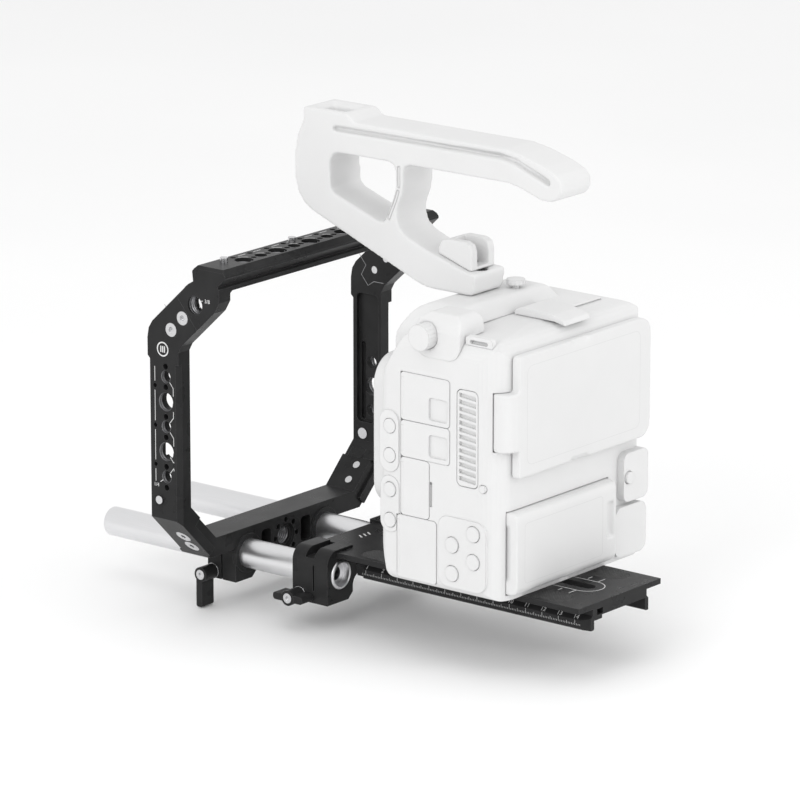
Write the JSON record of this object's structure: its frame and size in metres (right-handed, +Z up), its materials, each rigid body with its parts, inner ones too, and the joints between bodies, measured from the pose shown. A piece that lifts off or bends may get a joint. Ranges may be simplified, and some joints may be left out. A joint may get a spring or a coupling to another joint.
{
  "type": "cinema camera rig",
  "caption": "Boxy cinema camera with a top handle on a dovetail base plate, with a half cage and rail on two 15 mm rods with lever clamps.",
  "frame": {"origin": "middle of the base plate at the foot of its dovetail, on the mid-plane", "axes": "+X operator's left, -Y lens side, +Z up"},
  "size_m": [0.1766, 0.3019, 0.2559],
  "materials": {
    "anodised_black": "black anodised aluminium, fine matt",
    "rod_silver": "clear anodised tube, fine lengthwise grain",
    "steel_bright": "bright stainless fastener",
    "white_plastic": "smooth matt white plastic",
    "rubber_black": "matt black rubber",
    "sensor_dark": "dark sensor package"
  },
  "bodies": {
    "base": {"dovetail_plate": "anodised_black", "plate_pads": "rubber_black", "rear_clamp": "anodised_black", "clamp_screws": "steel_bright", "wing_washers": "steel_bright"},
    "rods": {"rod_left": "rod_silver", "rod_right": "rod_silver"},
    "cage": {"cage_top_bar": "anodised_black", "cage_left_arm": "anodised_black", "cage_right_arm": "anodised_black", "cage_bottom_bar": "anodised_black", "cage_upper_screws": "steel_bright", "cage_lower_screws": "steel_bright", "cage_pins": "steel_bright", "rail_pins": "steel_bright", "lever_washers": "steel_bright"},
    "lever_l": {"lever_left": "anodised_black", "lever_screw_left": "steel_bright"},
    "lever_r": {"lever_right": "anodised_black", "lever_screw_right": "steel_bright"},
    "wing_l": {"wing_left": "anodised_black", "wing_screw_left": "steel_bright"},
    "wing_r": {"wing_right": "anodised_black", "wing_screw_right": "steel_bright"},
    "camera": {"camera_screws": "steel_bright", "camera_shell": "white_plastic", "top_cover": "white_plastic", "mount_housing": "white_plastic", "lens_mount": "steel_bright", "image_sensor": "sensor_dark", "side_housing": "white_plastic", "strap_lug": "white_plastic", "vent_grille": "white_plastic", "hand_grip": "white_plastic", "handle_body": "white_plastic", "handle_shoe": "white_plastic", "handle_bolts": "steel_bright"},
    "monitor": {"lcd_monitor": "white_plastic"},
    "battery_pack": {"battery": "white_plastic"},
    "latch": {"battery_latch": "white_plastic"},
    "cover": {"accessory_cover": "white_plastic"},
    "thumb_screw": {"handle_screw": "white_plastic"},
    "knob": {"side_knob": "white_plastic"},
    "mount_release": {"mount_button": "steel_bright"},
    "trigger": {"record_trigger": "white_plastic"},
    "d_upper": {"door_upper": "white_plastic"},
    "d_middle": {"door_middle": "white_plastic"},
    "d_lower": {"door_lower": "white_plastic"},
    "d_bottom": {"door_bottom": "white_plastic"},
    "btn_a1": {"button_a1": "white_plastic"},
    "btn_a2": {"button_a2": "white_plastic"},
    "btn_a3": {"button_a3": "white_plastic"},
    "btn_a4": {"button_a4": "white_plastic"},
    "btn_b1": {"button_b1": "white_plastic"},
    "btn_b2": {"button_b2": "white_plastic"},
    "btn_b3": {"button_b3": "white_plastic"},
    "btn_b4": {"button_b4": "white_plastic"},
    "btn_small": {"button_small": "white_plastic"}
  },
  "joints": [
    {"name": "rods_slide", "type": "slide", "parent": "base", "child": "rods", "axis": [0, -1, 0], "range_m": [0, 0.012]},
    {"name": "cage_slide", "type": "slide", "parent": "rods", "child": "cage", "axis": [0, -1, 0], "range_m": [-0.012, 0.06]},
    {"name": "camera_slide", "type": "slide", "parent": "base", "child": "camera", "axis": [0, 1, 0], "range_m": [-0.01, 0.01]},
    {"name": "lever_left_turn", "type": "hinge", "parent": "cage", "child": "lever_l", "pos_m": [0.045, -0.1407, -0.0084], "axis": [1, 0, 0], "range_deg": [-90, 90]},
    {"name": "lever_right_turn", "type": "hinge", "parent": "cage", "child": "lever_r", "pos_m": [-0.045, -0.1407, -0.0084], "axis": [1, 0, 0], "range_deg": [-90, 90]},
    {"name": "wing_left_turn", "type": "hinge", "parent": "base", "child": "wing_l", "pos_m": [0.045, -0.083, -0.0094], "axis": [1, 0, 0], "continuous": true},
    {"name": "wing_right_turn", "type": "hinge", "parent": "base", "child": "wing_r", "pos_m": [-0.045, -0.083, -0.0094], "axis": [1, 0, 0], "continuous": true},
    {"name": "monitor_open", "type": "hinge", "parent": "camera", "child": "monitor", "pos_m": [0.0445, 0.049, 0.1015], "axis": [0, 0, -1], "range_deg": [0, 110]},
    {"name": "battery_out", "type": "slide", "parent": "camera", "child": "battery_pack", "axis": [0, 1, 0], "range_m": [0, 0.05]},
    {"name": "battery_latch_press", "type": "slide", "parent": "camera", "child": "latch", "axis": [0, -1, 0], "range_m": [0, 0.0008], "stiffness_N_per_m": 600},
    {"name": "mount_release_press", "type": "slide", "parent": "camera", "child": "mount_release", "axis": [0, 1, 0], "range_m": [0, 0.001], "stiffness_N_per_m": 600},
    {"name": "record_press", "type": "slide", "parent": "camera", "child": "trigger", "axis": [0, 1, 0], "range_m": [0, 0.0012], "stiffness_N_per_m": 600},
    {"name": "cover_open", "type": "hinge", "parent": "camera", "child": "cover", "pos_m": [-0.0105, 0.0198, 0.1432], "axis": [1, 0, 0], "range_deg": [0, 80]},
    {"name": "handle_screw_turn", "type": "hinge", "parent": "camera", "child": "thumb_screw", "pos_m": [-0.017, 0.007, 0.1515], "axis": [0, 0, 1], "continuous": true},
    {"name": "side_knob_turn", "type": "hinge", "parent": "camera", "child": "knob", "pos_m": [0.054, 0.0068, 0.1402], "axis": [1, 0, 0], "continuous": true},
    {"name": "door_upper_open", "type": "hinge", "parent": "camera", "child": "d_upper", "pos_m": [0.0516, -0.0083, 0.1075], "axis": [0, 0, -1], "range_deg": [0, 110]},
    {"name": "door_middle_open", "type": "hinge", "parent": "camera", "child": "d_middle", "pos_m": [0.0516, -0.0083, 0.0865], "axis": [0, 0, -1], "range_deg": [0, 110]},
    {"name": "door_lower_open", "type": "hinge", "parent": "camera", "child": "d_lower", "pos_m": [0.0516, -0.0083, 0.0625], "axis": [0, 0, -1], "range_deg": [0, 110]},
    {"name": "door_bottom_open", "type": "hinge", "parent": "camera", "child": "d_bottom", "pos_m": [0.0516, -0.0106, 0.0315], "axis": [0, 0, -1], "range_deg": [0, 110]},
    {"name": "press_a1", "type": "slide", "parent": "camera", "child": "btn_a1", "axis": [-1, 0, 0], "range_m": [0, 0.0008], "stiffness_N_per_m": 300},
    {"name": "press_a2", "type": "slide", "parent": "camera", "child": "btn_a2", "axis": [-1, 0, 0], "range_m": [0, 0.0008], "stiffness_N_per_m": 300},
    {"name": "press_a3", "type": "slide", "parent": "camera", "child": "btn_a3", "axis": [-1, 0, 0], "range_m": [0, 0.0008], "stiffness_N_per_m": 300},
    {"name": "press_a4", "type": "slide", "parent": "camera", "child": "btn_a4", "axis": [-1, 0, 0], "range_m": [0, 0.0008], "stiffness_N_per_m": 300},
    {"name": "press_b1", "type": "slide", "parent": "camera", "child": "btn_b1", "axis": [-1, 0, 0], "range_m": [0, 0.0008], "stiffness_N_per_m": 300},
    {"name": "press_b2", "type": "slide", "parent": "camera", "child": "btn_b2", "axis": [-1, 0, 0], "range_m": [0, 0.0008], "stiffness_N_per_m": 300},
    {"name": "press_b3", "type": "slide", "parent": "camera", "child": "btn_b3", "axis": [-1, 0, 0], "range_m": [0, 0.0008], "stiffness_N_per_m": 300},
    {"name": "press_b4", "type": "slide", "parent": "camera", "child": "btn_b4", "axis": [-1, 0, 0], "range_m": [0, 0.0008], "stiffness_N_per_m": 300},
    {"name": "press_small", "type": "slide", "parent": "camera", "child": "btn_small", "axis": [-1, 0, 0], "range_m": [0, 0.0004], "stiffness_N_per_m": 300}
  ]
}
